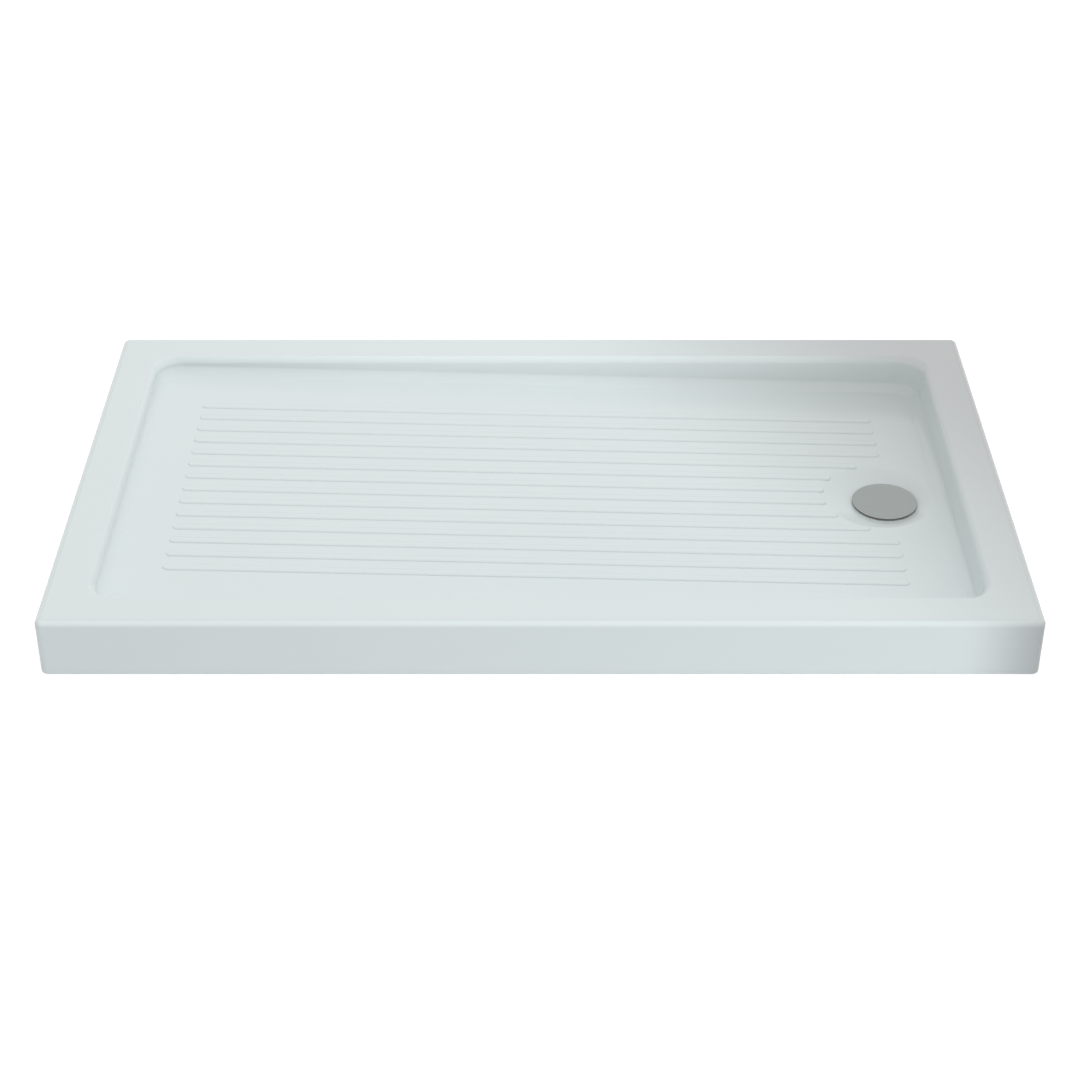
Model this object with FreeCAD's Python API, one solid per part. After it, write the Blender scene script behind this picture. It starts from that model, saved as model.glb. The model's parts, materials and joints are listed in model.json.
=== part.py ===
"""Shower tray of glazed fireclay with a trapped waste, in millimetres.

The origin is the middle of the plane that the tray is bedded on. +X runs along the tray to
the waste end, +Y to the back edge and +Z up. The trap hangs below that plane, in the floor.
"""

import FreeCAD, Part

import math
import os

from FreeCAD import Vector

# Tray outline
tray_length = 1200.0
tray_width = 700.0
tray_height = 76.0
corner_round = 10.0
top_edge_round = 6.5
foot_round = 2.0

# Basin
rim_width = 58.0
wall_draft = 6.0
basin_corner_round = 34.0
rim_round = 9.5
floor_round = 12.0
floor_fall = 0.026
drain_from_end = 143.0
drain_seat_height = 18.5
dish_drop = 9.3
dish_radius = 45.5
dish_rim_radius = 74.0
dish_rim_shift = 12.0
dish_blend = 30.0
dish_hollow = 18.0

# Raised ribs
rib_count = 14
rib_pitch = 30.4
rib_width = 13.0
rib_height = 1.8
rib_bevel = 1.2
rib_start_from_end = 130.0
rib_stop_from_end = 137.0
rib_stop_radius = 81.0

# Underside
skirt_thickness = 14.0
rim_thickness = 12.0
wall_thickness = 12.0
floor_thickness = 12.0
web_thickness = 12.0
cross_web_count = 8
boss_radius = 66.0
boss_thickness = 10.0
boss_clearance = 6.0

# Waste flange and washers
waste_hole_radius = 30.0
flange_radius = 39.0
flange_thickness = 2.0
flange_side_clearance = 1.5
flange_washer_thickness = 2.0
washer_inset = 1.0
skirt_radius = 28.4
skirt_wall = 3.4
skirt_reach = 12.0
shelf_width = 3.0
shelf_thickness = 3.0
thread_clearance = 0.2
body_washer_thickness = 3.0

# Trap
collar_radius = 52.0
collar_thickness = 4.0
neck_wall = 3.4
neck_overlap = 2.0
vessel_radius = 44.0
vessel_wall = 3.0
vessel_bottom_bevel = 9.0
trap_seal_depth = 30.0
dip_end_gap = 9.0

# Outlet
pipe_radius = 20.0
pipe_clearance = 0.3
socket_depth = 26.0
socket_wall = 3.0
socket_step = 3.3
outlet_neck = 8.0
outlet_drop = 2.0
nut_wall = 3.6
nut_grip = 15.0
nut_end_wall = 3.0
nut_rib_count = 12
nut_rib_height = 1.2
nut_rib_width = 3.0
seal_length = 7.0
seal_nose = 3.0
slip_ring_thickness = 1.5

# Lift-out insert
insert_clearance = 0.4
collar_height = 15.0
insert_wall = 2.0
dip_radius = 17.0
strainer_thickness = 2.0
strainer_hole_radius = 3.0
strainer_hole_count = 8
strainer_ring_radius = 13.0
seal_width = 2.8
seal_bevel = 0.7
seal_groove_slack = 0.3
seal_running_gap = 0.2

# Cover
cover_radius = 43.0
cover_gap = 2.0
cap_rim_height = 1.8
cap_thickness = 0.8
cap_bevel = 0.8
cap_clearance = 0.1
carrier_thickness = 1.0
leg_count = 4
leg_width = 8.0
leg_thickness = 2.0
leg_clearance = 0.3
carrier_rib_drop = 1.2

# Places worked out from the sizes above
half_length = tray_length / 2
half_width = tray_width / 2
drain_x = half_length - drain_from_end
drain_floor_z = drain_seat_height + dish_drop
draft_run = math.tan(math.radians(wall_draft))
floor_angle = math.degrees(math.atan(floor_fall))
recess_depth = flange_washer_thickness + flange_thickness
recess_z = drain_seat_height - recess_depth
boss_z = recess_z - boss_thickness
collar_z = boss_z - body_washer_thickness
skirt_end_z = collar_z - skirt_reach
skirt_bore = skirt_radius - skirt_wall
shelf_z = skirt_end_z + shelf_thickness
neck_bore = skirt_radius + thread_clearance
neck_end_z = skirt_end_z - neck_overlap
socket_bore = pipe_radius + pipe_clearance
outlet_bore = socket_bore - socket_step
socket_radius = socket_bore + socket_wall
nut_bore = socket_radius + thread_clearance
nut_radius = nut_bore + nut_wall
outlet_z = -outlet_drop - nut_radius - nut_rib_height
dip_end_z = outlet_z - outlet_bore - trap_seal_depth
vessel_floor_z = dip_end_z - dip_end_gap
insert_radius = skirt_bore - insert_clearance
insert_top_z = shelf_z + collar_height
insert_bore = insert_radius - insert_wall - seal_width + seal_running_gap
strainer_z = insert_top_z - 4.0
cap_rim_z = drain_seat_height + cover_gap
cap_top_z = cap_rim_z + cap_rim_height


def floor_z(x):
    """Height of the basin's floor on its plane."""
    return drain_floor_z + floor_fall * (drain_x - x)


shallow_wall = tray_height - floor_z(rim_width - half_length)
rim_round = min(rim_round, 0.45 * shallow_wall)
floor_round = min(floor_round, 0.55 * shallow_wall)


def block(x_half, y_half, z_low, z_high, corner):
    """Upright block about the origin with rounded corners."""
    solid = Part.makeBox(2 * x_half, 2 * y_half, z_high - z_low, Vector(-x_half, -y_half, z_low))
    upright = [e for e in solid.Edges if abs(e.BoundBox.ZLength - (z_high - z_low)) < 1e-6]
    return solid.makeFillet(corner, upright)


def edges_at(solid, z):
    """The edges of a solid that lie in a level plane."""
    return [e for e in solid.Edges if abs(e.BoundBox.ZMin - z) < 1e-4 and abs(e.BoundBox.ZMax - z) < 1e-4]


def drafted_pocket(edge_inset, z_low, z_high):
    """Four-sided pocket that narrows downwards. edge_inset is its distance from the tray's edges at the rim."""
    corners = {}
    for z in (z_low, z_high):
        inset = edge_inset + (tray_height - z) * draft_run
        x = half_length - inset
        y = half_width - inset
        corners[z] = [Vector(-x, -y, z), Vector(x, -y, z), Vector(x, y, z), Vector(-x, y, z)]
    low = corners[z_low]
    high = corners[z_high]
    outlines = [low[::-1], high]
    for i in range(4):
        j = (i + 1) % 4
        outlines.append([low[i], low[j], high[j], high[i]])
    faces = [Part.Face(Part.makePolygon(points + [points[0]])) for points in outlines]
    return Part.makeSolid(Part.makeShell(faces))


def on_floor(shape):
    """Lays a shape that was made about z = 0 on the floor's plane."""
    shape.rotate(Vector(0, 0, 0), Vector(0, 1, 0), floor_angle)
    shape.translate(Vector(0, 0, floor_z(0)))
    return shape


def above_floor(drop):
    """All that lies above a plane parallel to the floor and the drop below it."""
    reach = 2 * tray_length
    return on_floor(Part.makeBox(2 * reach, 2 * reach, reach, Vector(-reach, -reach, -drop)))


def rounded_pocket(edge_inset, corner, drop):
    """Drafted pocket with rounded corners, down to the floor's plane or the drop below it."""
    pocket = drafted_pocket(edge_inset, -tray_height, tray_height + rim_round)
    sloped = [e for e in pocket.Edges if e.BoundBox.ZLength > tray_height]
    pocket = pocket.makeFillet(corner, sloped)
    return pocket.common(above_floor(drop)).Solids[0]


def revolved(points, x):
    """Solid of revolution about the upright axis at x, from (radius, height) points."""
    corners = [Vector(x + radius, 0, z) for radius, z in points]
    face = Part.Face(Part.makePolygon(corners + [corners[0]]))
    return face.revolve(Vector(x, 0, 0), Vector(0, 0, 1), 360)


def disc(radius, z_low, z_high, x):
    return Part.makeCylinder(radius, z_high - z_low, Vector(x, 0, z_low))


def ring(inner, outer, z_low, z_high, x):
    return disc(outer, z_low, z_high, x).cut(disc(inner, z_low - 1, z_high + 1, x))


def make_basin():
    """The space that the basin takes out of the tray, with the rounded join of walls and floor."""
    pocket = rounded_pocket(rim_width, basin_corner_round, 0)
    wall_foot = [e for e in pocket.Edges if e.BoundBox.ZMax < tray_height - 1]
    return pocket.makeFillet(floor_round, [e for e in wall_foot if lies_on_floor(e)])


def lies_on_floor(edge):
    for vertex in edge.Vertexes:
        if abs(vertex.Z - floor_z(vertex.X)) > 0.01:
            return False
    return True


def make_dish():
    """The hollow round the waste: from a level seat out to a larger circle on the floor, set off from the wall."""
    above = 1.0 + 4.0 / dish_drop
    seat = Part.Circle(Vector(drain_x, 0, drain_seat_height), Vector(0, 0, 1), dish_radius)
    rim_radius = dish_radius + above * (dish_rim_radius - dish_radius)
    rim_centre = Vector(drain_x - above * dish_rim_shift, 0, (above - 1.0) * dish_drop)
    rim = on_floor(Part.Circle(rim_centre, Vector(0, 0, 1), rim_radius).toShape())
    return Part.makeLoft([Part.Wire(seat.toShape()), Part.Wire(rim)], True, True)


def rib_stop(y):
    """Where a rib ends at the waste end: on a line, or on a circle round the waste."""
    line = half_length - rib_stop_from_end
    if abs(y) >= rib_stop_radius:
        return line
    return min(line, drain_x - math.sqrt(rib_stop_radius**2 - y**2))


def make_rib(y):
    """One raised rib, lying on the floor's plane, with round ends and a bevel along its top edges."""
    radius = rib_width / 2
    start = rib_start_from_end - half_length + radius
    stop = rib_stop(y) - radius
    side = Part.LineSegment(Vector(start, y - radius, 0), Vector(stop, y - radius, 0))
    far_end = Part.Arc(Vector(stop, y - radius, 0), Vector(stop + radius, y, 0), Vector(stop, y + radius, 0))
    other_side = Part.LineSegment(Vector(stop, y + radius, 0), Vector(start, y + radius, 0))
    near_end = Part.Arc(Vector(start, y + radius, 0), Vector(start - radius, y, 0), Vector(start, y - radius, 0))
    outline = Part.Wire([s.toShape() for s in (side, far_end, other_side, near_end)])
    root = floor_thickness / 2
    solid = Part.Face(outline).extrude(Vector(0, 0, root + rib_height))
    solid = solid.makeChamfer(min(rib_bevel, 0.9 * rib_height), edges_at(solid, root + rib_height))
    solid.translate(Vector(0, 0, -root))
    return on_floor(solid)


def make_underside():
    """The open space under the tray: cells between the webs, under the rim and under the floor."""
    inner_length = half_length - skirt_thickness
    inner_width = half_width - skirt_thickness
    inner_corner = max(corner_round, 8.0)
    space = block(inner_length, inner_width, -1.0, tray_height - rim_thickness, inner_corner)
    basin = rounded_pocket(rim_width - wall_thickness, basin_corner_round + wall_thickness, floor_thickness)
    space = space.cut(basin)
    webs = [web(tray_length, web_thickness, 0, 0)]
    pitch = (2 * inner_length - cross_web_count * web_thickness) / (cross_web_count + 1) + web_thickness
    for i in range(cross_web_count):
        webs.append(web(web_thickness, tray_width, pitch * (i + 1) - web_thickness / 2 - inner_length, 0))
    boss = disc(boss_radius, boss_z, tray_height, drain_x)
    room = disc(boss_radius + boss_clearance, -1.0, boss_z, drain_x)
    return space.cut(webs + [boss]).fuse(room)


def web(length, width, x, y):
    return Part.makeBox(length, width, tray_height, Vector(x - length / 2, y - width / 2, 0))


def make_tray_body():
    tray = block(half_length, half_width, 0, tray_height, corner_round)
    tray = tray.makeFillet(top_edge_round, edges_at(tray, tray_height))
    tray = tray.makeFillet(foot_round, edges_at(tray, 0))
    tray = tray.cut(make_basin())
    tray = tray.makeFillet(rim_round, [e for e in edges_at(tray, tray_height) if inside_rim(e)])
    tray = tray.cut(make_dish())
    tray = tray.makeFillet(dish_hollow, edges_at(tray, drain_seat_height))
    tray = tray.makeFillet(dish_blend, [e for e in tray.Edges if is_dish_edge(e)])
    tray = tray.fuse([make_rib(y) for y in rib_places()])
    tray = tray.cut(make_underside())
    tray = tray.cut(disc(flange_radius + flange_side_clearance, recess_z, drain_seat_height + 1, drain_x))
    return tray.cut(disc(waste_hole_radius, -1.0, tray_height, drain_x)).Solids[0]


def inside_rim(edge):
    box = edge.BoundBox
    return max(abs(box.XMin), abs(box.XMax)) < half_length - rim_width / 2 and (
        max(abs(box.YMin), abs(box.YMax)) < half_width - rim_width / 2
    )


def is_dish_edge(edge):
    """The edge where the dish's cone meets the floor's plane."""
    middle = edge.valueAt((edge.FirstParameter + edge.LastParameter) / 2)
    away = math.hypot(middle.x - drain_x, middle.y)
    on_floor = abs(middle.z - floor_z(middle.x)) < 0.01
    return on_floor and dish_radius < away < 3 * dish_radius and lies_on_floor(edge)


def rib_places():
    return [rib_pitch * (i - (rib_count - 1) / 2) for i in range(rib_count)]


def make_flange_washer():
    return ring(
        waste_hole_radius + washer_inset,
        flange_radius - washer_inset,
        recess_z,
        recess_z + flange_washer_thickness,
        drain_x,
    )


def make_waste_flange():
    """Flange plate with the skirt that screws into the trap's neck, and the shelf that carries the insert."""
    plate_z = recess_z + flange_washer_thickness
    lead_in = flange_thickness * 1.5
    return revolved(
        [
            (skirt_bore - shelf_width, skirt_end_z),
            (skirt_radius, skirt_end_z),
            (skirt_radius, plate_z),
            (flange_radius, plate_z),
            (flange_radius, drain_seat_height - flange_thickness / 2),
            (flange_radius - flange_thickness / 2, drain_seat_height),
            (skirt_bore + lead_in, drain_seat_height),
            (skirt_bore, drain_seat_height - lead_in),
            (skirt_bore, shelf_z),
            (skirt_bore - shelf_width, shelf_z),
        ],
        drain_x,
    )


def make_body_washer():
    return ring(waste_hole_radius + washer_inset, collar_radius - washer_inset, collar_z, boss_z, drain_x)


def make_trap_body():
    """Vessel with a collar under the tray, a neck for the flange's skirt and a side outlet."""
    inner = vessel_radius - vessel_wall
    collar_low = collar_z - collar_thickness
    bottom = vessel_floor_z - vessel_wall
    slant_gain = vessel_wall * (2 - math.sqrt(2))
    inner_bevel = vessel_bottom_bevel - slant_gain
    vessel = revolved(
        [
            (0, bottom),
            (vessel_radius - vessel_bottom_bevel, bottom),
            (vessel_radius, bottom + vessel_bottom_bevel),
            (vessel_radius, collar_low),
            (collar_radius, collar_low),
            (collar_radius, collar_z),
            (neck_bore, collar_z),
            (neck_bore, neck_end_z),
            (neck_bore + neck_wall, neck_end_z),
            (neck_bore + neck_wall, collar_low),
            (inner, collar_low),
            (inner, vessel_floor_z + inner_bevel),
            (inner - inner_bevel, vessel_floor_z),
            (0, vessel_floor_z),
        ],
        drain_x,
    )
    spigot_end = vessel_radius + outlet_neck + socket_depth
    spigot = along_outlet(socket_radius, inner, spigot_end)
    spigot = spigot.cut(disc(inner, bottom, collar_z, drain_x))
    body = vessel.fuse(spigot)
    body = body.cut(along_outlet(outlet_bore, inner - vessel_wall, spigot_end))
    body = body.cut(along_outlet(socket_bore, spigot_end - socket_depth, spigot_end + 1))
    return body.removeSplitter()


def along_outlet(radius, start, end):
    """Cylinder on the outlet's axis between two distances from the trap's upright axis."""
    return Part.makeCylinder(radius, end - start, Vector(drain_x - start, 0, outlet_z), Vector(-1, 0, 0))


def outlet_profile(points):
    """Solid of revolution about the outlet's axis, from (distance along it, radius) points."""
    corners = [Vector(drain_x - along, 0, outlet_z + radius) for along, radius in points]
    face = Part.Face(Part.makePolygon(corners + [corners[0]]))
    return face.revolve(Vector(drain_x, 0, outlet_z), Vector(-1, 0, 0), 360)


socket_end = vessel_radius + outlet_neck + socket_depth
ring_start = socket_end + seal_length
nut_end = ring_start + slip_ring_thickness + nut_end_wall


def make_outlet_seal():
    """Ring whose tapered nose is drawn against the socket's mouth and the pipe."""
    return outlet_profile(
        [
            (socket_end, socket_bore),
            (socket_end, socket_bore + socket_wall / 2),
            (socket_end + seal_nose, socket_radius - thread_clearance),
            (ring_start, socket_radius - thread_clearance),
            (ring_start, socket_bore),
        ]
    )


def make_outlet_slip_ring():
    return outlet_profile(
        [
            (ring_start, socket_bore),
            (ring_start, socket_radius - thread_clearance),
            (ring_start + slip_ring_thickness, socket_radius - thread_clearance),
            (ring_start + slip_ring_thickness, socket_bore),
        ]
    )


def make_outlet_nut():
    """Compression nut with grip ribs round its outside."""
    nut_start = socket_end - nut_grip
    chamfer = nut_wall / 2
    nut = outlet_profile(
        [
            (nut_start, nut_bore),
            (nut_start, nut_radius),
            (nut_end - chamfer, nut_radius),
            (nut_end, nut_radius - chamfer),
            (nut_end, socket_bore),
            (nut_end - nut_end_wall, socket_bore),
            (nut_end - nut_end_wall, nut_bore),
        ]
    )
    ribs = []
    for i in range(nut_rib_count):
        rib = Part.makeBox(
            nut_end - chamfer - nut_start,
            nut_rib_width,
            nut_wall / 2 + nut_rib_height,
            Vector(drain_x - nut_end + chamfer, -nut_rib_width / 2, outlet_z + nut_radius - nut_wall / 2),
        )
        rib.rotate(Vector(drain_x, 0, outlet_z), Vector(1, 0, 0), 360 * (i + 0.5) / nut_rib_count)
        ribs.append(rib)
    return nut.fuse(ribs).removeSplitter()


seal_radius = skirt_bore - seal_running_gap
groove_floor = seal_radius - seal_width
groove_half = seal_width / 2 + seal_groove_slack
groove_z = shelf_z + collar_height / 2 - strainer_thickness


def make_dip_tube():
    """Lift-out insert: a collar with a seal groove, a strainer plate, a funnel and the dip tube."""
    tube_bore = dip_radius - insert_wall
    step_z = strainer_z - strainer_thickness
    funnel_z = shelf_z - shelf_thickness
    insert = revolved(
        [
            (tube_bore, dip_end_z),
            (dip_radius, dip_end_z),
            (dip_radius, funnel_z - insert_wall),
            (skirt_bore - shelf_width - insert_clearance, shelf_z),
            (insert_radius, shelf_z),
            (insert_radius, groove_z - groove_half),
            (groove_floor, groove_z - groove_half),
            (groove_floor, groove_z + groove_half),
            (insert_radius, groove_z + groove_half),
            (insert_radius, insert_top_z),
            (insert_bore, insert_top_z),
            (insert_bore, step_z),
            (insert_bore, shelf_z + insert_wall),
            (tube_bore, funnel_z),
        ],
        drain_x,
    )
    plate = disc(insert_bore + insert_wall / 2, step_z, strainer_z, drain_x)
    holes = [disc(strainer_hole_radius, step_z - 1, strainer_z + 1, drain_x)]
    for i in range(strainer_hole_count):
        hole = disc(strainer_hole_radius, step_z - 1, strainer_z + 1, drain_x + strainer_ring_radius)
        hole.rotate(Vector(drain_x, 0, 0), Vector(0, 0, 1), 360 * (i + 0.5) / strainer_hole_count)
        holes.append(hole)
    return insert.fuse(plate.cut(holes)).removeSplitter()


def make_dip_tube_seal():
    """Rubber ring in the insert's groove, bevelled where it wipes the flange's bore."""
    low = groove_z - seal_width / 2
    high = groove_z + seal_width / 2
    return revolved(
        [
            (groove_floor, low),
            (seal_radius - seal_bevel, low),
            (seal_radius, low + seal_bevel),
            (seal_radius, high - seal_bevel),
            (seal_radius - seal_bevel, high),
            (groove_floor, high),
        ],
        drain_x,
    )


def make_cover_cap():
    """Pressed metal disc with a bevelled edge and a short turned-down rim."""
    inner = cover_radius - cap_thickness
    under = cap_top_z - cap_thickness
    return revolved(
        [
            (0, under),
            (inner, under),
            (inner, cap_rim_z),
            (cover_radius, cap_rim_z),
            (cover_radius, cap_top_z - cap_bevel),
            (cover_radius - cap_bevel, cap_top_z),
            (0, cap_top_z),
        ],
        drain_x,
    )


def make_cover_carrier():
    """Moulding held in the cap, with a stiffening ring and the legs that stand on the strainer."""
    top = cap_top_z - cap_thickness
    under = top - carrier_thickness
    plate = disc(cover_radius - cap_thickness - cap_clearance, under, top, drain_x)
    leg_reach = insert_bore - leg_clearance
    stiffener = ring(leg_reach - leg_thickness, leg_reach, under - carrier_rib_drop, under, drain_x)
    legs = ring(leg_reach - leg_thickness, leg_reach, strainer_z, under, drain_x)
    cross = []
    for i in range(leg_count // 2):
        bar = Part.makeBox(
            2 * cover_radius,
            leg_width,
            top - strainer_z,
            Vector(drain_x - cover_radius, -leg_width / 2, strainer_z),
        )
        bar.rotate(Vector(drain_x, 0, 0), Vector(0, 0, 1), 360 * (i + 0.5) / leg_count)
        cross.append(bar)
    legs = legs.common(cross[0].multiFuse(cross[1:]))
    return plate.fuse([stiffener, legs]).removeSplitter()


pieces = {
    "tray_body": make_tray_body,
    "flange_washer": make_flange_washer,
    "waste_flange": make_waste_flange,
    "body_washer": make_body_washer,
    "trap_body": make_trap_body,
    "outlet_nut": make_outlet_nut,
    "outlet_slip_ring": make_outlet_slip_ring,
    "outlet_seal": make_outlet_seal,
    "dip_tube": make_dip_tube,
    "dip_tube_seal": make_dip_tube_seal,
    "cover_cap": make_cover_cap,
    "cover_carrier": make_cover_carrier,
}

os.makedirs("parts", exist_ok=True)
for name, make in pieces.items():
    shape = make()
    shape.exportStep(os.path.join("parts", name + ".step"))
    print(name, shape.isValid(), len(shape.Solids), round(shape.Volume / 1000, 1), "cm3")
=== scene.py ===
import json
import math

import bmesh
import bpy
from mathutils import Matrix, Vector

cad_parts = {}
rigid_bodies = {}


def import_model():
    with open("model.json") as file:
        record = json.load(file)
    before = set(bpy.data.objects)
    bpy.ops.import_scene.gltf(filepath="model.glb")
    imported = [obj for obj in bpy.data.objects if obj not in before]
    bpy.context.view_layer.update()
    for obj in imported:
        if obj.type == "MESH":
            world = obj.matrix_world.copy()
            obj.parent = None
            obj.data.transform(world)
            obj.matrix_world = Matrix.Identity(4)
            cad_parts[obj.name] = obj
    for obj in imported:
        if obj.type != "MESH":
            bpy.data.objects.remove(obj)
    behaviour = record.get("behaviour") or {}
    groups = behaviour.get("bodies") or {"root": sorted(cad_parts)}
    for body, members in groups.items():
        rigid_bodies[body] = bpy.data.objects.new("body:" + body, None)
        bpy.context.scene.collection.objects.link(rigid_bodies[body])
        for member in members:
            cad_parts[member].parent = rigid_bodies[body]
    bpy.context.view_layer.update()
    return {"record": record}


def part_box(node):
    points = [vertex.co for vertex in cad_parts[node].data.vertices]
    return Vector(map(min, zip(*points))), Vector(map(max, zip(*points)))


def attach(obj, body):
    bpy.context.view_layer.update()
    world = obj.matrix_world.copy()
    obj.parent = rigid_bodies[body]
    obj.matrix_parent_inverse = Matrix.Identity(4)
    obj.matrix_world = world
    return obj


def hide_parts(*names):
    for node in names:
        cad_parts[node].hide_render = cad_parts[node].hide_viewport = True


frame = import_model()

tolerance = 1e-5
fineTolerance = 1e-6
# how near to the vertical a normal or an edge has to be
facing = 0.9
# millimetres, the small hub from which a full disc is turned
axisRadius = 0.5


def selectNothing():
    for item in bpy.context.view_layer.objects:
        item.select_set(False)


def pick(piece):
    selectNothing()
    piece.select_set(True)
    bpy.context.view_layer.objects.active = piece


def startEdit(piece, mode="EDGE"):
    pick(piece)
    bpy.ops.object.mode_set(mode="EDIT")
    bpy.ops.mesh.select_mode(type=mode)
    bpy.ops.mesh.select_all(action="DESELECT")


def endEdit():
    bpy.ops.object.mode_set(mode="OBJECT")


selectModes = {"verts": "VERT", "edges": "EDGE", "faces": "FACE"}


def choose(piece, kind, wanted):
    # kind is verts, edges or faces, and wanted tests one of them by its place or normal
    bpy.ops.mesh.select_mode(type=selectModes[kind])
    bpy.ops.mesh.select_all(action="DESELECT")
    mesh = bmesh.from_edit_mesh(piece.data)
    for part in getattr(mesh, kind):
        if wanted(part):
            part.select_set(True)
    mesh.select_flush_mode()
    bmesh.update_edit_mesh(piece.data)


def middle(part):
    return sum((v.co for v in part.verts), Vector()) / len(part.verts)


def facesUp(face):
    return face.normal.z > facing


def facesDown(face):
    return face.normal.z < -facing


def isLevel(v, height):
    return abs(v.co.z - height) < fineTolerance


def shift(x=0.0, z=0.0):
    bpy.ops.transform.translate(value=(x, 0, z))


def bevelSelected(width, segments, profile=0.5):
    bpy.ops.mesh.bevel(
        offset=width,
        offset_type="OFFSET",
        segments=segments,
        profile=profile,
        affect="EDGES",
        clamp_overlap=False,
    )


def applyAll(piece):
    pick(piece)
    for modifier in list(piece.modifiers):
        bpy.ops.object.modifier_apply(modifier=modifier.name)


def addBlock(name, low, high):
    low, high = Vector(low), Vector(high)
    selectNothing()
    bpy.ops.mesh.primitive_cube_add(size=1, location=(low + high) / 2, scale=high - low)
    block = bpy.context.object
    bpy.ops.object.transform_apply(location=True, rotation=True, scale=True)
    block.name = name
    return block


def cut(piece, cutter, operation="DIFFERENCE"):
    modifier = piece.modifiers.new("cut", "BOOLEAN")
    modifier.object = cutter
    modifier.operation = operation
    modifier.solver = "EXACT"
    applyAll(piece)
    bpy.data.objects.remove(cutter)


def joinInto(piece, others):
    pick(piece)
    for other in others:
        other.select_set(True)
    bpy.ops.object.join()


def finishMesh(piece, angle=30.0):
    startEdit(piece)
    bpy.ops.mesh.select_all(action="SELECT")
    bpy.ops.mesh.remove_doubles(threshold=fineTolerance)
    endEdit()
    pick(piece)
    bpy.ops.object.shade_smooth_by_angle(angle=math.radians(angle))
    weighted = piece.modifiers.new("weighted", "WEIGHTED_NORMAL")
    weighted.keep_sharp = True
    weighted.weight = 100
    applyAll(piece)


def turned(name, rings, centre, segments=96, closed=False):
    # a turned form: one circle, extruded and scaled ring by ring; rings are (radius, height)
    selectNothing()
    start = (centre[0], centre[1], rings[0][1])
    bpy.ops.mesh.primitive_circle_add(vertices=segments, radius=rings[0][0], location=start)
    piece = bpy.context.object
    bpy.ops.object.transform_apply(location=True, rotation=True, scale=True)
    piece.name = name
    startEdit(piece)
    bpy.ops.mesh.select_all(action="SELECT")
    if not closed:
        bpy.ops.mesh.edge_face_add()
    radius, height = rings[0]
    for nextRadius, nextHeight in rings[1:]:
        if closed:
            bpy.ops.mesh.extrude_edges_move()
        else:
            bpy.ops.mesh.extrude_region_move()
        grow = nextRadius / radius
        bpy.ops.transform.resize(value=(grow, grow, 1), center_override=(centre[0], centre[1], height))
        shift(z=nextHeight - height)
        radius, height = nextRadius, nextHeight
    if closed:
        bpy.ops.mesh.select_all(action="DESELECT")
        bpy.ops.mesh.select_non_manifold(extend=False)
        bpy.ops.mesh.bridge_edge_loops()
    bpy.ops.mesh.select_all(action="SELECT")
    bpy.ops.mesh.normals_make_consistent(inside=False)
    if bmesh.from_edit_mesh(piece.data).calc_volume(signed=True) < 0:
        bpy.ops.mesh.flip_normals()
    endEdit()
    return piece


def inMetres(rings):
    return [(radius / 1000, height / 1000) for radius, height in rings]


def roundCorner(radius, height, size, start, end, steps=6):
    # points of a profile's rounded corner about (radius, height), between two angles in degrees
    angles = [math.radians(start + (end - start) * i / steps) for i in range(steps + 1)]
    return [(radius + size * math.cos(angle), height + size * math.sin(angle)) for angle in angles]


def softenEdges(piece, width, segments=3, sharperThan=0.6):
    startEdit(piece)
    choose(piece, "edges", lambda e: len(e.link_faces) == 2 and e.calc_face_angle() > sharperThan)
    bevelSelected(width, segments)
    endEdit()


def coat(piece, *coats):
    for finish in coats:
        piece.data.materials.append(finish)


def paint(piece, index, wanted=lambda face: True):
    for face in piece.data.polygons:
        if wanted(face):
            face.material_index = index


def placePiece(piece, node):
    if not piece.data.materials:
        coat(piece, finishes[slots[node]])
    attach(piece, bodies[node])
    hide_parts(node)
    print(piece.name, len(piece.data.polygons))


tray = {
    "cornerRound": 0.010,
    "topRound": 0.0065,
    "footRound": 0.002,
    "rimWidth": 0.058,
    "wallDraft": 6.0,
    "basinCorner": 0.034,
    "rimRound": 0.0100,
    "floorRound": 0.0132,
    "softness": 0.38,
    "floorFall": 0.026,
    "drainFromEnd": 0.143,
    "seatHeight": 0.0185,
    "dishDrop": 0.0093,
    "dishRings": [
        (0.0441, 0.006), (0.0455, 0.024), (0.0469, 0.054), (0.0482, 0.095), (0.0535, 0.281), (0.0588, 0.467),
        (0.0641, 0.653), (0.0690, 0.825), (0.0710, 0.889), (0.0730, 0.939), (0.0750, 0.971), (0.0770, 0.990),
        (0.0785, 0.9985), (0.0805, 1.0100),
    ],
    "dishStart": 0.0427,
    "dishOffset": 0.012,
    "dishSegments": 128,
    "flangeRoom": 0.0405,
    "flangeRecess": 0.004,
    "holeRadius": 0.030,
    "wall": 0.012,
    "skirt": 0.014,
    "webs": 8,
    "web": 0.012,
    "cellRound": 0.008,
    "bossRadius": 0.066,
    "bossRoom": 0.072,
    "bossThickness": 0.010,
    "sharpAngle": 0.5,
    "margin": 0.001,
    "cutBelow": 0.002,
    "cutAbove": 0.02,
}
roundSteps = {
    "corner": 8,
    "basin": 14,
    "floor": 10,
    "rim": 10,
    "top": 8,
    "foot": 3,
    "cell": 5,
    "underBasin": 10,
}
trayLow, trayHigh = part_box("tray_body")
halfLength = round((trayHigh.x - trayLow.x) / 2, 4)
halfWidth = round((trayHigh.y - trayLow.y) / 2, 4)
trayHeight = round(trayHigh.z, 4)
drainX = halfLength - tray["drainFromEnd"]
drainFloor = tray["seatHeight"] + tray["dishDrop"]
recessHeight = tray["seatHeight"] - tray["flangeRecess"]
bossHeight = recessHeight - tray["bossThickness"]
draftRun = math.tan(math.radians(tray["wallDraft"]))


def floorHeight(x):
    return drainFloor + tray["floorFall"] * (drainX - x)


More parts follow.
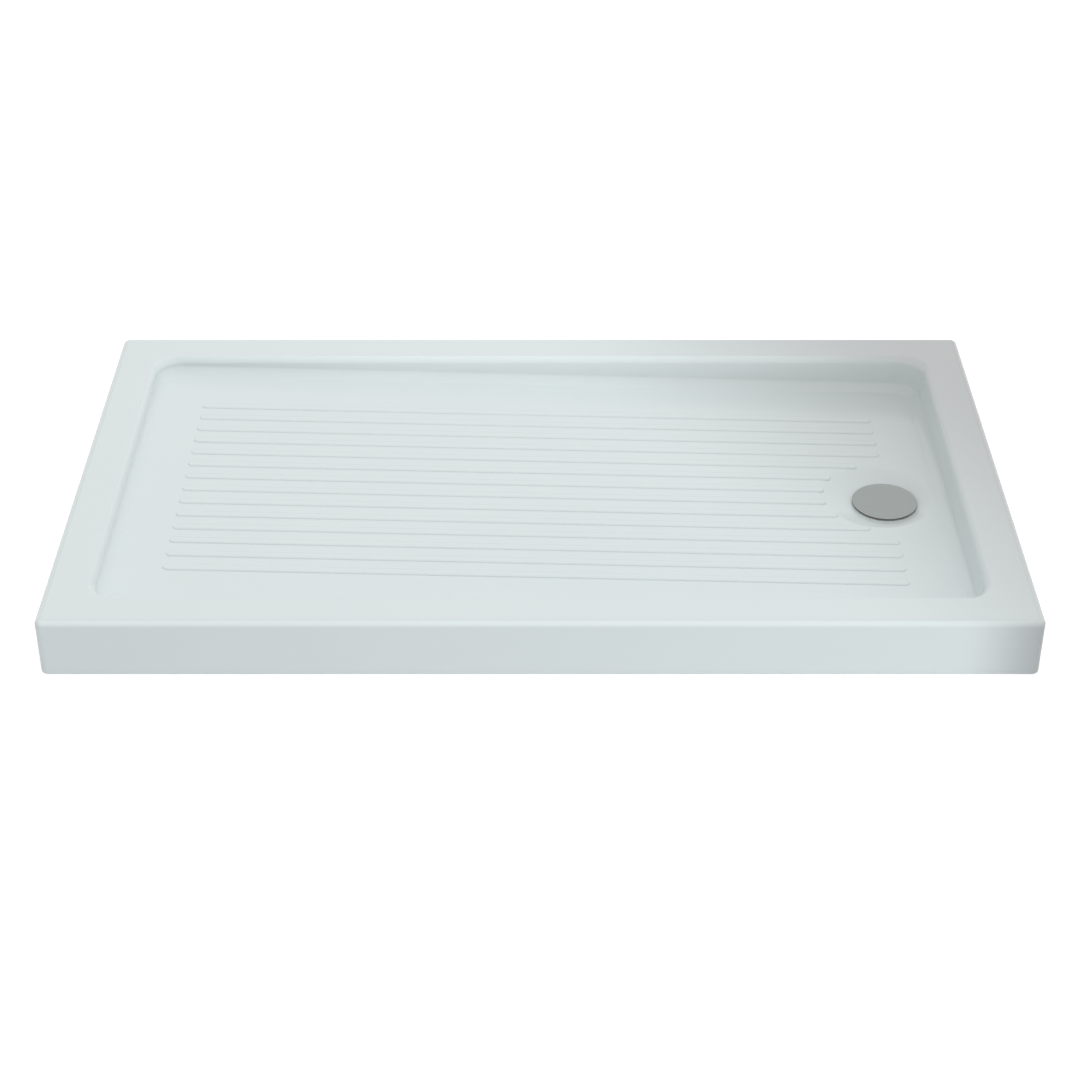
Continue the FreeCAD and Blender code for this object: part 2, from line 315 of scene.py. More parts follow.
def pocketEnd(side, inset, drop):
    # where an end wall of the basin, or of a larger block round it, meets the floor's plane
    reach = halfLength - inset - draftRun * (trayHeight - drainFloor + drop - tray["floorFall"] * drainX)
    return side * reach / (1 + side * draftRun * tray["floorFall"])


def sinkPocket(piece, inset, drop):
    # the selected face goes down to the floor's plane, narrower by the draft
    bpy.ops.mesh.extrude_region_move()
    bpy.ops.transform.resize(value=(1, 1, 0), center_override=(0, 0, 0))
    topX = halfLength - inset
    topY = halfWidth - inset
    for side in (-1, 1):
        endX = pocketEnd(side, inset, drop)
        endZ = floorHeight(endX) - drop
        choose(piece, "verts", lambda v: isLevel(v, 0) and abs(v.co.x - side * topX) < tolerance)
        shift(x=endX - side * topX, z=endZ)
        narrow = (topY - draftRun * (trayHeight - endZ)) / topY
        bpy.ops.transform.resize(value=(1, narrow, 1), center_override=(0, 0, 0))


def onFloor(v):
    return abs(v.co.z - floorHeight(v.co.x)) < tolerance


def isUpright(edge):
    rise = abs(edge.verts[0].co.z - edge.verts[1].co.z)
    return rise > facing * edge.calc_length()


def isSharp(edge):
    return len(edge.link_faces) == 2 and edge.calc_face_angle() > tray["sharpAngle"]


def makeTrayShell():
    shell = addBlock("trayBody", (-halfLength, -halfWidth, 0), (halfLength, halfWidth, trayHeight))
    startEdit(shell, "FACE")
    choose(shell, "faces", facesUp)
    bpy.ops.mesh.inset(thickness=tray["rimWidth"], depth=0)
    sinkPocket(shell, tray["rimWidth"], 0)
    choose(shell, "edges", lambda e: isUpright(e) and abs(middle(e).x) > halfLength - tray["margin"])
    bevelSelected(tray["cornerRound"], roundSteps["corner"])
    choose(shell, "edges", lambda e: isUpright(e) and abs(middle(e).x) < halfLength - tray["rimWidth"])
    bevelSelected(tray["basinCorner"], roundSteps["basin"])
    slant = math.tan(math.radians(45 - tray["wallDraft"] / 2))
    choose(shell, "edges", lambda e: isSharp(e) and all(onFloor(v) for v in e.verts))
    bevelSelected(tray["floorRound"] * slant, roundSteps["floor"], tray["softness"])
    insideX = halfLength - tray["rimWidth"] + tray["margin"]
    insideY = halfWidth - tray["rimWidth"] + tray["margin"]

    def atHeight(edge, height):
        return isSharp(edge) and all(abs(v.co.z - height) < tolerance for v in edge.verts)

    def isInner(v):
        return abs(v.co.x) < insideX and abs(v.co.y) < insideY

    choose(shell, "edges", lambda e: atHeight(e, trayHeight) and all(isInner(v) for v in e.verts))
    bevelSelected(tray["rimRound"] * slant, roundSteps["rim"], tray["softness"])
    choose(shell, "edges", lambda e: atHeight(e, trayHeight) and not isInner(e.verts[0]))
    bevelSelected(tray["topRound"], roundSteps["top"])
    choose(shell, "edges", lambda e: atHeight(e, 0))
    bevelSelected(tray["footRound"], roundSteps["foot"])
    endEdit()
    return shell


def makeDishCutter():
    # waste hole, room for the flange, seat and dish as one turned form
    rings = [
        (tray["holeRadius"], -tray["cutBelow"]),
        (tray["holeRadius"], recessHeight),
        (tray["flangeRoom"], recessHeight),
        (tray["flangeRoom"], tray["seatHeight"]),
        (tray["dishStart"], tray["seatHeight"]),
    ]
    cutter = turned("dishCutter", rings, (drainX, 0), tray["dishSegments"])
    startEdit(cutter, "FACE")
    choose(cutter, "faces", lambda f: facesUp(f) and len(f.verts) == tray["dishSegments"])
    # the dish's rings lean over, from the level seat to the floor's plane
    tilt = math.atan(tray["floorFall"])
    radius, height, offset, leaned = tray["dishStart"], tray["seatHeight"], 0.0, 0.0
    for nextRadius, rise in tray["dishRings"]:
        nextOffset = -rise * tray["dishOffset"]
        nextHeight = tray["seatHeight"] + rise * tray["dishDrop"] - rise * tray["floorFall"] * nextOffset
        bpy.ops.mesh.extrude_region_move()
        grow = nextRadius / radius
        pivot = (drainX + offset, 0, height)
        bpy.ops.transform.resize(value=(grow, grow, grow), center_override=pivot)
        lean = min(rise, 1)
        bpy.ops.transform.rotate(value=-(lean - leaned) * tilt, orient_axis="Y", center_override=pivot)
        shift(x=nextOffset - offset, z=nextHeight - height)
        radius, height, offset, leaned = nextRadius, nextHeight, nextOffset, lean
    bpy.ops.mesh.extrude_region_move()
    shift(z=tray["cutAbove"])
    endEdit()
    return cutter


def makeCells():
    # the hollow of the underside: one cell is modelled and copied between the webs
    innerX = halfLength - tray["skirt"]
    innerY = halfWidth - tray["skirt"]
    columns = tray["webs"] + 1
    cellLength = (2 * innerX - tray["webs"] * tray["web"]) / columns
    ceiling = trayHeight - tray["wall"]
    cell = addBlock("cell", (0, tray["web"] / 2, -tray["margin"]), (cellLength, innerY, ceiling))
    startEdit(cell)
    choose(cell, "edges", isUpright)
    bevelSelected(tray["cellRound"], roundSteps["cell"])
    endEdit()
    cells = []
    for column in range(columns):
        for side in (0, 1):
            copy = cell.copy()
            copy.data = cell.data.copy()
            bpy.context.collection.objects.link(copy)
            copy.rotation_euler.z = side * math.pi
            copy.location.x = column * (cellLength + tray["web"]) - innerX + side * cellLength
            cells.append(copy)
    bpy.data.objects.remove(cell)
    joinInto(cells[0], cells[1:])
    bpy.ops.object.transform_apply(location=True, rotation=True, scale=True)
    hollow = cells[0]
    inset = tray["rimWidth"] - tray["wall"]
    basinX, basinY = halfLength - inset, halfWidth - inset
    blockFoot = trayHeight - tray["margin"]
    basin = addBlock("basinOutside", (-basinX, -basinY, blockFoot), (basinX, basinY, trayHeight))
    startEdit(basin, "FACE")
    choose(basin, "faces", facesDown)
    sinkPocket(basin, inset, tray["wall"])
    choose(basin, "edges", lambda e: isUpright(e) and e.calc_length() > tray["wall"])
    bevelSelected(tray["basinCorner"] + tray["wall"], roundSteps["underBasin"])
    endEdit()
    cut(hollow, basin)
    bossRings = [(tray["bossRadius"], bossHeight), (tray["bossRadius"], trayHeight)]
    cut(hollow, turned("boss", bossRings, (drainX, 0)))
    return hollow


ribs = {
    "count": 14,
    "pitch": 0.0304,
    "width": 0.013,
    "height": 0.0018,
    "sideWidth": 0.0022,
    "profile": [(0.06, 0.10), (0.14, 0.30), (0.26, 0.55), (0.44, 0.78), (0.68, 0.93), (1.0, 1.0)],
    "root": 0.005,
    "startFromEnd": 0.130,
    "stopFromEnd": 0.137,
    "stopRadius": 0.081,
    "endShare": 0.98,
    "endSteps": 8,
}


def makeRib(length):
    # a flat bar, its top raised and narrowed ring by ring, so that the sides roll softly into the floor
    half = ribs["width"] / 2
    endReach = half + fineTolerance
    rib = addBlock("rib", (0, -half, -ribs["root"]), (length, half, 0))
    startEdit(rib)
    choose(rib, "edges", isUpright)
    bevelSelected(half * ribs["endShare"], ribs["endSteps"])
    reach, height = half, 0.0
    for share, rise in ribs["profile"]:
        nextReach, nextHeight = half - share * ribs["sideWidth"], rise * ribs["height"]
        grow = nextReach / reach
        choose(rib, "faces", lambda f: facesUp(f) and all(isLevel(v, height) for v in f.verts))
        bpy.ops.mesh.extrude_region_move()
        bpy.ops.transform.resize(value=(1, grow, 1), center_override=(0, 0, height))
        shift(z=nextHeight - height)
        for end in (half, length - half):
            choose(rib, "verts", lambda v: isLevel(v, nextHeight) and abs(v.co.x - end) < endReach)
            bpy.ops.transform.resize(value=(grow, 1, 1), center_override=(end, 0, nextHeight))
        reach, height = nextReach, nextHeight
    endEdit()
    return rib


def ribStop(y):
    line = halfLength - ribs["stopFromEnd"]
    if abs(y) >= ribs["stopRadius"]:
        return line
    return min(line, drainX - math.sqrt(ribs["stopRadius"] ** 2 - y ** 2))


def makeRibs():
    start = ribs["startFromEnd"] - halfLength
    length = halfLength - ribs["stopFromEnd"] - start
    first = makeRib(length)
    made = []
    for i in range(ribs["count"]):
        y = ribs["pitch"] * (i - (ribs["count"] - 1) / 2)
        rib = first.copy()
        rib.data = first.data.copy()
        bpy.context.collection.objects.link(rib)
        startEdit(rib, "VERT")
        choose(rib, "verts", lambda v: v.co.x > length / 2)
        shift(x=ribStop(y) - start - length)
        endEdit()
        rib.location = (start, y, floorHeight(start))
        rib.rotation_euler.y = math.atan(tray["floorFall"])
        made.append(rib)
    bpy.data.objects.remove(first)
    joinInto(made[0], made[1:])
    bpy.ops.object.transform_apply(location=True, rotation=True, scale=True)
    return made[0]


def makeTray():
    body = makeTrayShell()
    coat(body, glazeFinish, clayFinish)
    paint(body, 1, facesDown)
    cut(body, makeDishCutter())
    hollow = makeCells()
    coat(hollow, glazeFinish, clayFinish)
    paint(hollow, 1)
    cut(body, hollow)
    roomRings = [(tray["bossRoom"], -tray["cutBelow"]), (tray["bossRoom"], bossHeight)]
    room = turned("bossRoom", roomRings, (drainX, 0))
    coat(room, glazeFinish, clayFinish)
    paint(room, 1)
    cut(body, room)
    finishMesh(body)
    bars = makeRibs()
    coat(bars, glazeFinish)
    finishMesh(bars)
    joinInto(body, [bars])
    body.name = "trayBody"
    placePiece(body, "tray_body")


cover = {
    "radius": 43.0,
    "sheet": 0.8,
    "top": 22.3,
    "bottom": 20.5,
    "crown": 0.2,
    "turnIn": 1.0,
    "edgeRound": 0.6,
    "crownRings": [(0.35, 0.12), (0.7, 0.5)],
    "edgeSteps": 5,
    "segments": 128,
    "smoothAngle": 40,
    # faces whose normal points further down than this are painted black: painted shade for the gap under the
    # cap's edge
    "paintedShadeNormal": -0.1,
}


def makeCoverCap():
    # pressed disc, crowned a little, with a soft edge over a rim that turns in to a shadow gap
    outer = cover["radius"]
    rim = outer - cover["turnIn"]
    inner = rim - cover["sheet"]
    shoulder = cover["top"] - cover["crown"]
    size = cover["edgeRound"]
    edge = roundCorner(outer - size, shoulder - size, size, 90, 0, cover["edgeSteps"])
    ceiling = shoulder - cover["sheet"]
    crown = [(outer * share, cover["top"] - cover["crown"] * drop) for share, drop in cover["crownRings"]]
    foot = [(rim, cover["bottom"]), (inner, cover["bottom"]), (inner, ceiling), (axisRadius, ceiling)]
    outline = [(axisRadius, cover["top"])] + crown + edge + foot
    cap = turned("coverCap", inMetres(outline), (drainX, 0), cover["segments"])
    finishMesh(cap, cover["smoothAngle"])
    coat(cap, finishes["cover_metal"], finishes["seal_rubber"])
    # the cap's turned-in rim and underside get black rubber, painted shade that darkens the shadow gap under
    # the cap's edge
    paint(cap, 1, lambda face: face.normal.z < cover["paintedShadeNormal"])
    placePiece(cap, "cover_cap")


carrier = {
    "plate": [(axisRadius, 21.5), (42.1, 21.5), (42.1, 20.5), (axisRadius, 20.5)],
    "stiffener": [(17.4, 19.3), (20.0, 19.3), (20.0, 20.7), (17.4, 20.7)],
    "legs": [(17.7, 3.5), (19.7, 3.5), (19.7, 20.8), (17.7, 20.8)],
    "legWidth": 0.008,
    "legAngles": (45, 135),
    "barReach": 0.03,
    "barHeights": (0.002, 0.022),
    "edge": 0.0003,
    "edgeSteps": 2,
}


def makeCoverCarrier():
    body = turned("coverCarrier", inMetres(carrier["plate"]), (drainX, 0))
    legs = turned("legs", inMetres(carrier["legs"]), (drainX, 0), closed=True)
    # the legs are what a cross of two bars leaves of a ring
    reach = carrier["barReach"]
    low, high = carrier["barHeights"]
    halfLeg = carrier["legWidth"] / 2
    bars = []
    for angle in carrier["legAngles"]:
        bar = addBlock("bar", (-reach, -halfLeg, low), (reach, halfLeg, high))
        bar.rotation_euler.z = math.radians(angle)
        bar.location.x = drainX
        pick(bar)
        bpy.ops.object.transform_apply(location=True, rotation=True, scale=True)
        bars.append(bar)
    cut(bars[0], bars[1], "UNION")
    cut(legs, bars[0], "INTERSECT")
    softenEdges(legs, carrier["edge"], carrier["edgeSteps"])
    stiffener = turned("stiffener", inMetres(carrier["stiffener"]), (drainX, 0), closed=True)
    joinInto(body, [legs, stiffener])
    finishMesh(body)
    placePiece(body, "cover_carrier")


insert = {
    "section": [
        (15.0, -77.3), (17.0, -77.3), (17.0, -12.5), (21.6, -7.5), (24.6, -7.5), (24.6, -3.7), (22.0, -3.7),
        (22.0, -0.3), (24.6, -0.3), (24.6, 7.5), (20.0, 7.5), (20.0, -5.5), (15.0, -10.5),
    ],
    "plate": [(axisRadius, 1.5), (21.0, 1.5), (21.0, 3.5), (axisRadius, 3.5)],
    "hole": [(3.0, 1.0), (3.0, 3.1), (3.6, 3.7)],
    "holesOn": 0.013,
    "holes": 8,
    "holeSegments": 32,
    "edge": 0.0004,
    "edgeSteps": 2,
}


def makeDipTube():
    body = turned("dipTube", inMetres(insert["section"]), (drainX, 0), closed=True)
    softenEdges(body, insert["edge"], insert["edgeSteps"])
    cut(body, turned("plate", inMetres(insert["plate"]), (drainX, 0)), "UNION")
    holes = []
    for i in range(insert["holes"] + 1):
        away = insert["holesOn"] if i else 0.0
        angle = 2 * math.pi * (i + 0.5) / insert["holes"]
        centre = (drainX + away * math.cos(angle), away * math.sin(angle))
        holes.append(turned("hole", inMetres(insert["hole"]), centre, insert["holeSegments"]))
    joinInto(holes[0], holes[1:])
    cut(body, holes[0])
    finishMesh(body)
    placePiece(body, "dip_tube")


rings = {
    "dip_tube_seal": {
        "name": "dipTubeSeal",
        "section": [(22.0, -3.4), (24.8, -3.4), (24.8, -0.6), (22.0, -0.6)],
        "edge": 0.0008,
    },
    "flange_washer": {
        "name": "flangeWasher",
        "section": [(31.0, 14.5), (38.0, 14.5), (38.0, 16.5), (31.0, 16.5)],
        "edge": 0.0005,
    },
    "body_washer": {
        "name": "bodyWasher",
        "section": [(31.0, 1.5), (51.0, 1.5), (51.0, 4.5), (31.0, 4.5)],
        "edge": 0.0006,
    },
    "waste_flange": {
        "name": "wasteFlange",
        "section": [
            (22.0, -10.5), (28.4, -10.5), (28.4, 16.5), (39.0, 16.5), (39.0, 18.5), (28.0, 18.5),
            (25.0, 15.5), (25.0, -7.5), (22.0, -7.5),
        ],
        "edge": 0.0006,
    },
}


def makeUprightRings():
    for node, ring in rings.items():
        piece = turned(ring["name"], inMetres(ring["section"]), (drainX, 0), closed=True)
        softenEdges(piece, ring["edge"])
        finishMesh(piece)
        placePiece(piece, node)


trap = {
    "outletHeight": -0.0303,
    "bottom": -89.3,
    "wall": 3.0,
    "corner": 12.0,
    "radius": 44.0,
    "collar": [
        (44.0, -2.5), (52.0, -2.5), (52.0, 1.5), (28.6, 1.5), (28.6, -12.5), (32.0, -12.5), (32.0, -2.5),
        (41.0, -2.5),
    ],
    "edge": 0.0006,
    "core": [(42.5, -84.3), (42.5, 0)],
    "spigot": [(23.3, 36.0), (23.3, 78.0)],
    "bore": [(17.0, 30.0), (17.0, 52.0), (20.3, 52.0), (20.3, 79.0)],
    "outletSegments": 64,
}


def layOnOutlet(piece):
    # a form turned about the origin goes on the outlet's axis, and its top to the outlet's mouth
    piece.rotation_euler.y = -math.pi / 2
    piece.location = (drainX, 0, trap["outletHeight"])
    pick(piece)
    bpy.ops.object.transform_apply(location=True, rotation=True, scale=True)
    return piece


def makeTrapBody():
    cornerRadius = trap["radius"] - trap["corner"]
    cornerHeight = trap["bottom"] + trap["corner"]
    outside = [(axisRadius, trap["bottom"])] + roundCorner(cornerRadius, cornerHeight, trap["corner"], -90, 0)
    inside = roundCorner(cornerRadius, cornerHeight, trap["corner"] - trap["wall"], 0, -90)
    inside.append((axisRadius, trap["bottom"] + trap["wall"]))
    body = turned("trapBody", inMetres(outside + trap["collar"] + inside), (drainX, 0))
    softenEdges(body, trap["edge"])
    spigot = layOnOutlet(turned("spigot", inMetres(trap["spigot"]), (0, 0), trap["outletSegments"]))
    cut(spigot, turned("core", inMetres(trap["core"]), (drainX, 0)))
    cut(body, spigot, "UNION")
    cut(body, layOnOutlet(turned("bore", inMetres(trap["bore"]), (0, 0), trap["outletSegments"])))
    finishMesh(body)
    placePiece(body, "trap_body")


nut = {
    "section": [
        (23.5, 63.0), (27.1, 63.0), (27.1, 87.7), (25.3, 89.5), (20.3, 89.5), (20.3, 86.5), (23.5, 86.5),
    ],
    "edge": 0.0003,
    "grips": 12,
    "gripWidth": 0.003,
    "gripFrom": 0.0255,
    "gripTo": 0.0283,
    "gripHeights": (0.063, 0.0877),
    "gripEdge": 0.0008,
    "gripSteps": 3,
}


def makeOutletNut():
    body = turned("outletNut", inMetres(nut["section"]), (0, 0), closed=True)
    softenEdges(body, nut["edge"])
    low, high = nut["gripHeights"]
    halfGrip = nut["gripWidth"] / 2
    grips = []
    for i in range(nut["grips"]):
        grip = addBlock("grip", (nut["gripFrom"], -halfGrip, low), (nut["gripTo"], halfGrip, high))
        startEdit(grip)
        choose(grip, "edges", lambda e: all(v.co.x > nut["gripTo"] - tolerance for v in e.verts))
        bevelSelected(nut["gripEdge"], nut["gripSteps"])
        endEdit()
        grip.rotation_euler.z = 2 * math.pi * (i + 0.5) / nut["grips"]
        pick(grip)
        bpy.ops.object.transform_apply(location=True, rotation=True, scale=True)
        grips.append(grip)
    joinInto(grips[0], grips[1:])
    cut(body, grips[0], "UNION")
    layOnOutlet(body)
    finishMesh(body)
    placePiece(body, "outlet_nut")


outletRings = {
    "outlet_slip_ring": {
        "name": "outletSlipRing",
        "section": [(20.3, 85.0), (23.1, 85.0), (23.1, 86.5), (20.3, 86.5)],
        "edge": 0.0003,
    },
    "outlet_seal": {
        "name": "outletSeal",
        "section": [(20.3, 78.0), (21.8, 78.0), (23.1, 81.0), (23.1, 85.0), (20.3, 85.0)],
        "edge": 0.0003,
    },
}


def makeOutletRings():
    for node, ring in outletRings.items():
        piece = layOnOutlet(turned(ring["name"], inMetres(ring["section"]), (0, 0), closed=True))
        softenEdges(piece, ring["edge"])
        finishMesh(piece)
        placePiece(piece, node)


def makeNode(tree, kind, settings=None, inputs=None, output=0):
    node = tree.nodes.new(kind)
    for name, value in (settings or {}).items():
        setattr(node, name, value)
    for name, value in (inputs or {}).items():
        if isinstance(value, Signal):
            tree.links.new(value.socket, node.inputs[name])
        else:
            node.inputs[name].default_value = value
    return Signal(tree, node.outputs[output])


class Signal:
    # one output socket, so that shader maths reads as maths
    def __init__(self, tree, socket):
        self.tree = tree
        self.socket = socket

    def maths(self, operation, first, second):
        return makeNode(self.tree, "ShaderNodeMath", {"operation": operation}, {0: first, 1: second})

    def __add__(self, other):
        return self.maths("ADD", self, other)

    def __rsub__(self, other):
        return self.maths("SUBTRACT", other, self)

    def __mul__(self, other):
        return self.maths("MULTIPLY", self, other)


def startMaterial(name):
    material = bpy.data.materials.new(name)
    material.use_nodes = True
    tree = material.node_tree
    return material, tree, tree.nodes["Principled BSDF"]


def noise(tree, scale, detail, stretch=(1, 1, 1)):
    # the finishes' tables give each noise as its scale and detail
    place = makeNode(tree, "ShaderNodeTexCoord", output="Object")
    place = makeNode(tree, "ShaderNodeMapping", inputs={"Vector": place, "Scale": stretch})
    return makeNode(tree, "ShaderNodeTexNoise", inputs={"Vector": place, "Scale": scale, "Detail": detail})


def tint(tree, amount, colour, shade):
    # of the mix node's three results, the one at index 2 is the colour
    inputs = {"Factor": amount, "A": (*colour, 1), "B": (*shade, 1)}
    return makeNode(tree, "ShaderNodeMix", {"data_type": "RGBA"}, inputs, 2)


def bump(tree, height, distance):
    return makeNode(tree, "ShaderNodeBump", inputs={"Height": height, "Distance": distance, "Strength": 1.0})


def plug(tree, signal, socket):
    tree.links.new(signal.socket, socket)


glaze = {
    "colour": (0.80, 0.872, 0.865),
    "shade": (0.78, 0.855, 0.848),
    "cloud": (5.0, 3.0),
    "roughness": 0.13,
    "roughnessSpread": 0.05,
    "mottle": (40.0, 2.0),
    "rippleHeight": 0.00025,
    "ripple": (9.0, 1.0),
    "peelHeight": 0.00001,
    "peel": (420.0, 1.0),
    "ior": 1.52,
}


def makeGlaze():
    material, tree, shader = startMaterial("glazedFireclay")
    cloud = noise(tree, *glaze["cloud"])
    plug(tree, tint(tree, cloud, glaze["colour"], glaze["shade"]), shader.inputs["Base Color"])
    mottle = noise(tree, *glaze["mottle"]) * glaze["roughnessSpread"]
    plug(tree, mottle + glaze["roughness"], shader.inputs["Roughness"])
    ripple = noise(tree, *glaze["ripple"]) * glaze["rippleHeight"]
    peel = noise(tree, *glaze["peel"]) * glaze["peelHeight"]
    plug(tree, bump(tree, ripple + peel, 1.0), shader.inputs["Normal"])
    shader.inputs["IOR"].default_value = glaze["ior"]
    return material


bisque = {
    "colour": (0.72, 0.68, 0.60),
    "shade": (0.60, 0.55, 0.47),
    "cloud": (14.0, 5.0),
    "roughness": 0.82,
    "roughnessSpread": 0.1,
    "grainHeight": 0.0003,
    "grain": (160.0, 6.0),
}


def makeBisque():
    material, tree, shader = startMaterial("bareClay")
    grain = noise(tree, *bisque["grain"])
    cloud = noise(tree, *bisque["cloud"])
    plug(tree, tint(tree, cloud, bisque["colour"], bisque["shade"]), shader.inputs["Base Color"])
    plug(tree, grain * bisque["roughnessSpread"] + bisque["roughness"], shader.inputs["Roughness"])
    plug(tree, bump(tree, grain, bisque["grainHeight"]), shader.inputs["Normal"])
    return material


metal = {
    "colour": (0.385, 0.415, 0.405),
    "shade": (0.34, 0.365, 0.355),
    "roughness": 0.30,
    "roughnessSpread": 0.12,
    "brushHeight": 0.00003,
    "brush": (6.0, 4.0),
    "brushStretch": (4, 260, 60),
}


def makeMetal():
    material, tree, shader = startMaterial("satinSteel")
    streak = noise(tree, *metal["brush"], metal["brushStretch"])
    plug(tree, tint(tree, streak, metal["colour"], metal["shade"]), shader.inputs["Base Color"])
    plug(tree, streak * metal["roughnessSpread"] + metal["roughness"], shader.inputs["Roughness"])
    plug(tree, bump(tree, streak, metal["brushHeight"]), shader.inputs["Normal"])
    shader.inputs["Metallic"].default_value = 1.0
    return material


plastic = {
    "darker": 0.92,
    "cloud": (30.0, 3.0),
    "roughnessSpread": 0.12,
    "grainHeight": 0.00004,
    "grain": (900.0, 2.0),
}


def makePlastic(name, colour, roughness):
    material, tree, shader = startMaterial(name)
    shade = tuple(plastic["darker"] * level for level in colour)
    plug(tree, tint(tree, noise(tree, *plastic["cloud"]), colour, shade), shader.inputs["Base Color"])
    grain = noise(tree, *plastic["grain"])
    plug(tree, grain * plastic["roughnessSpread"] + roughness, shader.inputs["Roughness"])
    plug(tree, bump(tree, grain, plastic["grainHeight"]), shader.inputs["Normal"])
    return material


glazeFinish = makeGlaze()
clayFinish = makeBisque()
finishes = {
    "cover_metal": makeMetal(),
    "trap_plastic": makePlastic("whitePlastic", (0.80, 0.83, 0.82), 0.40),
    "insert_plastic": makePlastic("greyPlastic", (0.30, 0.31, 0.32), 0.42),
    "seal_rubber": makePlastic("blackRubber", (0.025, 0.025, 0.025), 0.70),
}
slots = {part["node"]: part["material_slot"] for part in frame["record"]["subparts"]}
bodies = {node: "tray" for node in slots}
bodies.update(dip_tube="insert", dip_tube_seal="insert", cover_cap="cover", cover_carrier="cover")
print("materials")

makeTray()
makeCoverCap()
makeCoverCarrier()
makeDipTube()
makeUprightRings()
makeTrapBody()
makeOutletNut()
makeOutletRings()


studio = {
    "floorColour": (0.72, 0.73, 0.73),
    "floorRoughness": 0.9,
    "floorSpecular": 0.1,
    "floorGlow": 0.66,
    "floorOpening": 0.062,
    "floorReach": 9.0,
    "floorSegments": 64,
    "horizonSharpness": 5.0,
    "leanFade": 1.5,
    "sky": {"level": 0.60, "colour": (1.0, 0.945, 0.955), "lean": 0.33},
    "below": {"level": 0.36, "colour": (0.85, 0.90, 1.0), "lean": -0.9},
}
beams = {
    "overheadBeam": {
        "power": 157.0,
        "colour": (0.88, 1.0, 0.995),
        "place": (0.2, 0.15, 3.6),
        "target": (-1.9, -1.2, 0.0),
        "radius": 0.2,
        "angle": 77.4,
        "blend": 0.14,
    },
    "frontBeam": {
        "power": 112.0,
        "colour": (0.95, 1.0, 1.0),
        "place": (1.1, -3.0, 0.07),
        "target": (-0.51, -0.35, 0.04),
        "radius": 0.05,
        "angle": 40.0,
        "blend": 0.06,
    },
    "wallBeam": {
        "power": 57.0,
        "colour": (1.0, 1.0, 1.0),
        "place": (-0.1, -2.6, 0.3),
        "target": (-0.019, -0.292, 2.214),
        "radius": 0.03,
        "angle": 90.0,
        "blend": 0.03,
    },
}
seenRays = ("Is Camera Ray", "Is Glossy Ray", "Is Transmission Ray")


def seenRay(tree):
    # 1 where the camera sees something, straight, in a reflection or through something clear
    path = tree.nodes.new("ShaderNodeLightPath")
    camera, glossy, through = (Signal(tree, path.outputs[name]) for name in seenRays)
    return makeNode(tree, "ShaderNodeClamp", inputs={"Value": camera + glossy + through})


def makeFloor():
    # a ring, open under the waste, where the trap hangs in the ground
    selectNothing()
    bpy.ops.mesh.primitive_circle_add(
        vertices=studio["floorSegments"], radius=studio["floorOpening"], location=(drainX, 0, 0)
    )
    ground = bpy.context.object
    bpy.ops.object.transform_apply(location=True, rotation=True, scale=True)
    ground.name = "studioFloor"
    startEdit(ground)
    bpy.ops.mesh.select_all(action="SELECT")
    bpy.ops.mesh.extrude_edges_move()
    grow = studio["floorReach"] / studio["floorOpening"]
    bpy.ops.transform.resize(value=(grow, grow, 1), center_override=(drainX, 0, 0))
    bpy.ops.mesh.select_all(action="SELECT")
    if sum(face.normal.z for face in bmesh.from_edit_mesh(ground.data).faces) < 0:
        bpy.ops.mesh.flip_normals()
    endEdit()
    material, tree, shader = startMaterial("paleFloor")
    shader.inputs["Base Color"].default_value = (*studio["floorColour"], 1)
    shader.inputs["Roughness"].default_value = studio["floorRoughness"]
    shader.inputs["Specular IOR Level"].default_value = studio["floorSpecular"]
    shader.inputs["Emission Color"].default_value = (1, 1, 1, 1)
    plug(tree, seenRay(tree) * studio["floorGlow"], shader.inputs["Emission Strength"])
    clear = makeNode(tree, "ShaderNodeBsdfTransparent")
    below = Signal(tree, tree.nodes.new("ShaderNodeNewGeometry").outputs["Backfacing"])
    lit = Signal(tree, shader.outputs[0])
    both = makeNode(tree, "ShaderNodeMixShader", inputs={0: below, 1: lit, 2: clear})
    plug(tree, both, tree.nodes["Material Output"].inputs["Surface"])
    ground.data.materials.append(material)
    ground.visible_diffuse = False


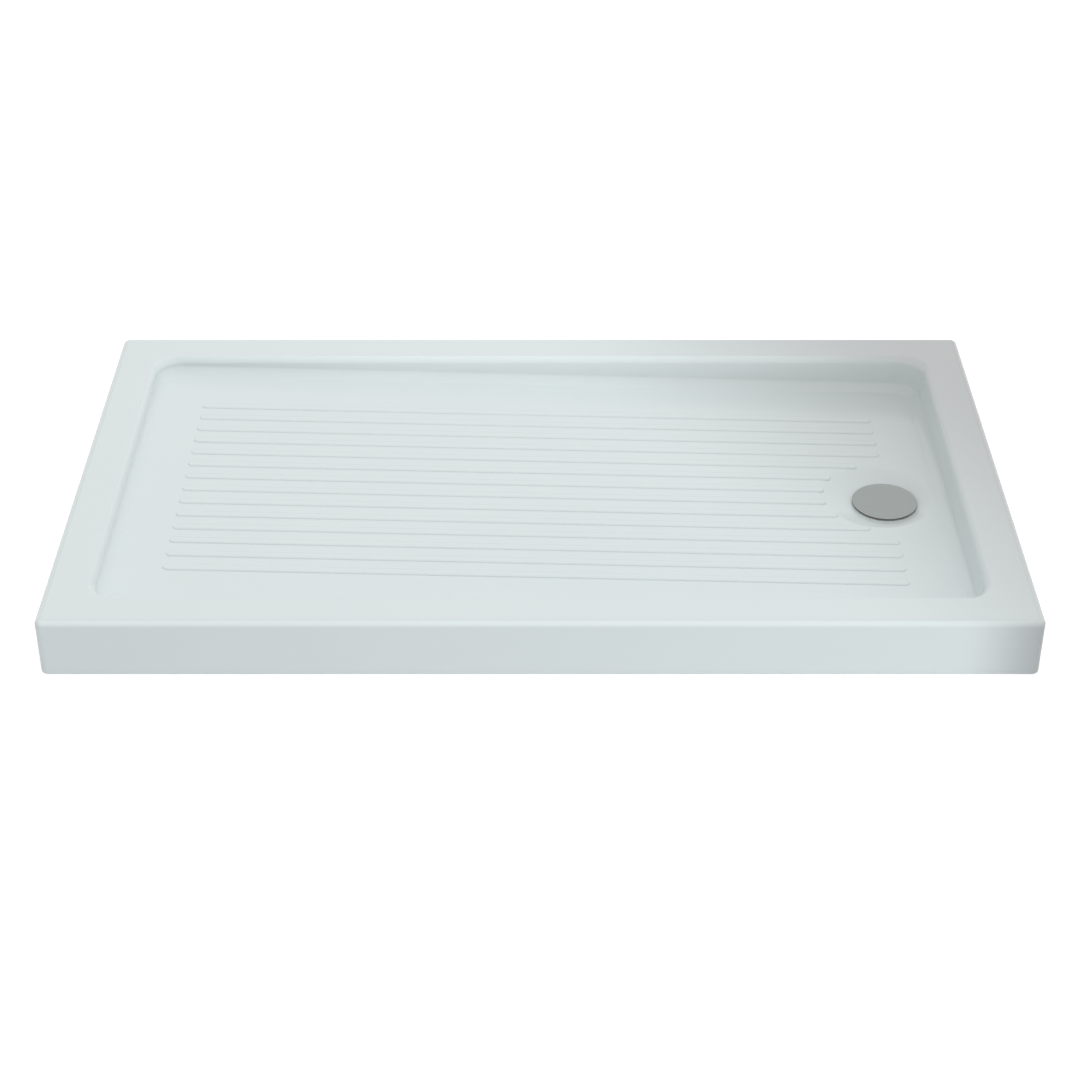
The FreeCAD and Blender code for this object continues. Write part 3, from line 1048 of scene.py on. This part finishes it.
def makeWorld():
    # white where the camera sees it; as light, the sky and the floor's bounce below it, each of them
    # stronger towards one end of the tray near the horizon
    world = bpy.data.worlds.new("studioWorld")
    bpy.context.scene.world = world
    world.use_nodes = True
    tree = world.node_tree
    way = makeNode(tree, "ShaderNodeTexCoord", output="Generated")
    across = makeNode(tree, "ShaderNodeSeparateXYZ", inputs={"Vector": way}, output="X")
    upward = makeNode(tree, "ShaderNodeSeparateXYZ", inputs={"Vector": way}, output="Z")
    above = makeNode(tree, "ShaderNodeClamp", inputs={"Value": upward * studio["horizonSharpness"] + 0.5})
    nearHorizon = makeNode(tree, "ShaderNodeClamp", inputs={"Value": 1.0 - upward * studio["leanFade"]})
    halves = []
    for part, share in (("sky", above), ("below", 1.0 - above)):
        half = studio[part]
        leaning = across * half["lean"] * nearHorizon + 1.0
        inputs = {"Color": (*half["colour"], 1), "Strength": leaning * share * half["level"]}
        halves.append(makeNode(tree, "ShaderNodeBackground", inputs=inputs))
    light = makeNode(tree, "ShaderNodeAddShader", inputs={0: halves[0], 1: halves[1]})
    shown = makeNode(tree, "ShaderNodeBackground", inputs={"Color": (1, 1, 1, 1), "Strength": 1.0})
    both = makeNode(tree, "ShaderNodeMixShader", inputs={0: seenRay(tree), 1: light, 2: shown})
    plug(tree, both, tree.nodes["World Output"].inputs["Surface"])


def makeBeam(name, beam):
    # a beam with a soft edge; reflections don't show it, but the white backdrop
    lamp = bpy.data.lights.new(name, "SPOT")
    lamp.energy = beam["power"]
    lamp.color = beam["colour"]
    lamp.shadow_soft_size = beam["radius"]
    lamp.spot_size = math.radians(beam["angle"])
    lamp.spot_blend = beam["blend"]
    holder = bpy.data.objects.new(name, lamp)
    bpy.context.collection.objects.link(holder)
    holder.location = beam["place"]
    direction = Vector(beam["target"]) - Vector(beam["place"])
    holder.rotation_euler = direction.to_track_quat("-Z", "Y").to_euler()
    holder.visible_glossy = False


cameraAt = {
    "focalPixels": 2215.9,
    "imageWidth": 1080,
    "sensor": 36,
    "pitch": 0.5911,
    "place": (0, -2.4689, 1.6169),
}


def makeCamera():
    lens = bpy.data.cameras.new("photoCamera")
    lens.sensor_width = cameraAt["sensor"]
    lens.lens = cameraAt["focalPixels"] / cameraAt["imageWidth"] * cameraAt["sensor"]
    holder = bpy.data.objects.new("photoCamera", lens)
    bpy.context.collection.objects.link(holder)
    holder.location = cameraAt["place"]
    holder.rotation_euler = (math.pi / 2 - cameraAt["pitch"], 0, 0)
    bpy.context.scene.camera = holder


makeFloor()
makeWorld()
for name, beam in beams.items():
    makeBeam(name, beam)
makeCamera()
bpy.context.scene.view_settings.view_transform = "Standard"
